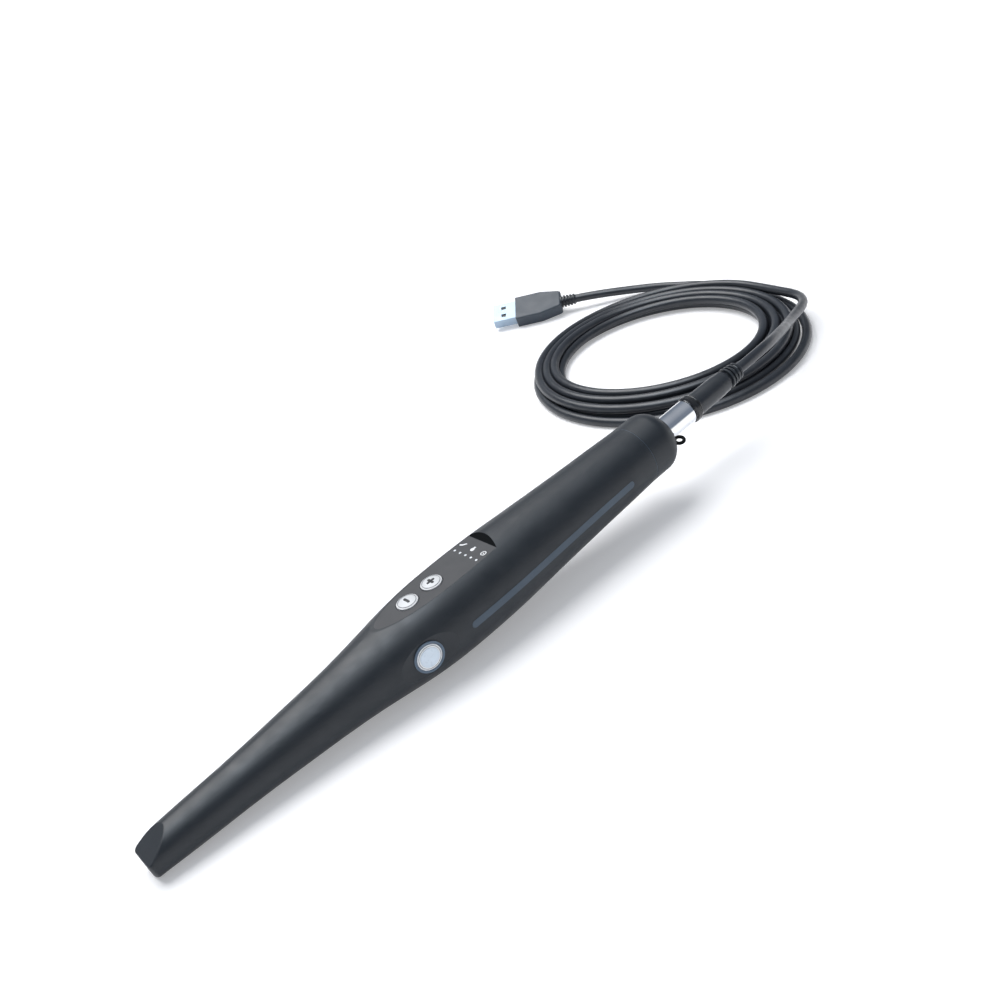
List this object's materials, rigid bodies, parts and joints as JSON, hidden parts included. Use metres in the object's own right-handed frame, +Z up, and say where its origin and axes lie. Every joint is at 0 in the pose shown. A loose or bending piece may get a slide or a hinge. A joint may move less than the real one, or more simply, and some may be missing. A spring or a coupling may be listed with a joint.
{
  "type": "intraoral camera",
  "caption": "Pen-shaped dental camera wand with keypad, side capture buttons and tip window, on a detachable coiled USB cable.",
  "frame": {"origin": "On the table plane, under the middle of the wand without its cable", "axes": "+X along the wand from the tip to the rear, +Y to the wand's left seen from behind with the keypad up, +Z up from the table; the wand's own axis rises 4.6 degrees from +X"},
  "size_m": [0.3553, 0.2143, 0.0328],
  "materials": {
    "body_plastic": "soft-touch matt blue-black",
    "end_black": "smooth black",
    "membrane_grey": "satin grey printed membrane",
    "strip_blue": "satin slate blue",
    "key_white": "satin white",
    "switch_metal": "satin",
    "board_green": "solder mask",
    "led_white": "phosphor",
    "pipe_clear": "clear polished",
    "ribbon_amber": "polyimide film",
    "glass_clear": "coated glass",
    "glass_mirror": "mirrored prism",
    "inner_black": "blackened",
    "magnet_metal": "nickel plated",
    "carriage_metal": "anodised",
    "chip_black": "moulded epoxy",
    "connector_white": "natural nylon",
    "wire_grey": "wire bundle",
    "bracket_metal": "stamped",
    "tray_grey": "moulded",
    "screw_metal": "zinc plated",
    "ring_blue": "slate blue ring",
    "disc_silver": "pale silver blue",
    "seal_rubber": "o-ring",
    "socket_metal": "nickel plated",
    "contact_gold": "gold plated",
    "sleeve_metal": "polished",
    "collar_black": "black",
    "grip_black": "moulded black",
    "cable_black": "satin black jacket",
    "usb_black": "moulded slate black",
    "usb_metal": "nickel plated",
    "tongue_black": "moulded insulator"
  },
  "bodies": {
    "handpiece": {"barrel": "body_plastic", "rear_cap": "body_plastic", "keypad_end_trim": "end_black", "keypad_membrane": "membrane_grey", "side_strip_left": "strip_blue", "side_strip_right": "strip_blue", "keypad_switches": "switch_metal", "capture_switches": "switch_metal", "keypad_board": "board_green", "main_board": "board_green", "sensor_board": "board_green", "led_board": "board_green", "indicator_leds": "led_white", "white_leds": "led_white", "light_pipes": "pipe_clear", "keypad_ribbon": "ribbon_amber", "sensor_ribbon": "ribbon_amber", "window_glass": "glass_clear", "mirror_prism": "glass_mirror", "front_lens": "glass_clear", "optic_carrier": "inner_black", "lens_tube": "inner_black", "focus_magnet": "magnet_metal", "image_sensor": "chip_black", "image_processor": "chip_black", "memory_chip": "chip_black", "usb_bridge_chip": "chip_black", "wire_connector": "connector_white", "socket_wires": "wire_grey", "switch_bracket": "bracket_metal", "board_tray": "tray_grey", "board_screws": "screw_metal", "capture_ring_left": "ring_blue", "capture_ring_right": "ring_blue", "cap_seal": "seal_rubber", "socket_shell": "socket_metal", "socket_insert": "inner_black", "socket_pins": "contact_gold", "strap_eyelet": "end_black"},
    "plus_button": {"plus_button": "key_white"},
    "minus_button": {"minus_button": "key_white"},
    "capture_left": {"capture_button_left": "disc_silver"},
    "capture_right": {"capture_button_right": "disc_silver"},
    "focus": {"focus_carriage": "carriage_metal", "focus_lens": "glass_clear"},
    "cable": {"plug_sleeve": "sleeve_metal", "plug_insert": "inner_black", "plug_contacts": "contact_gold", "plug_collar": "collar_black", "cable_grip": "grip_black", "strain_relief": "grip_black", "cable_lead": "cable_black", "cable_coil": "cable_black", "cable_tail": "cable_black", "usb_shell": "usb_metal", "usb_tongue": "tongue_black", "usb_contacts": "contact_gold", "usb_grip": "usb_black", "usb_relief": "grip_black"}
  },
  "joints": [
    {"name": "plus_press", "type": "slide", "parent": "handpiece", "child": "plus_button", "axis": [0.0802, 0, -0.9968], "range_m": [0, 0.0003], "stiffness_N_per_m": 400},
    {"name": "minus_press", "type": "slide", "parent": "handpiece", "child": "minus_button", "axis": [0.0802, 0, -0.9968], "range_m": [0, 0.0003], "stiffness_N_per_m": 400},
    {"name": "capture_press_left", "type": "slide", "parent": "handpiece", "child": "capture_left", "axis": [0.109, -0.994, 0.0088], "range_m": [0, 0.0005], "stiffness_N_per_m": 400},
    {"name": "capture_press_right", "type": "slide", "parent": "handpiece", "child": "capture_right", "axis": [0.109, 0.994, 0.0088], "range_m": [0, 0.0005], "stiffness_N_per_m": 400},
    {"name": "focus_travel", "type": "slide", "parent": "handpiece", "child": "focus", "axis": [0.9968, 0, 0.0802], "range_m": [-0.001, 0.0015], "stiffness_N_per_m": 60},
    {"name": "cable_pull", "type": "slide", "parent": "handpiece", "child": "cable", "axis": [0.9968, 0, 0.0802], "range_m": [0, 0.0125]}
  ]
}
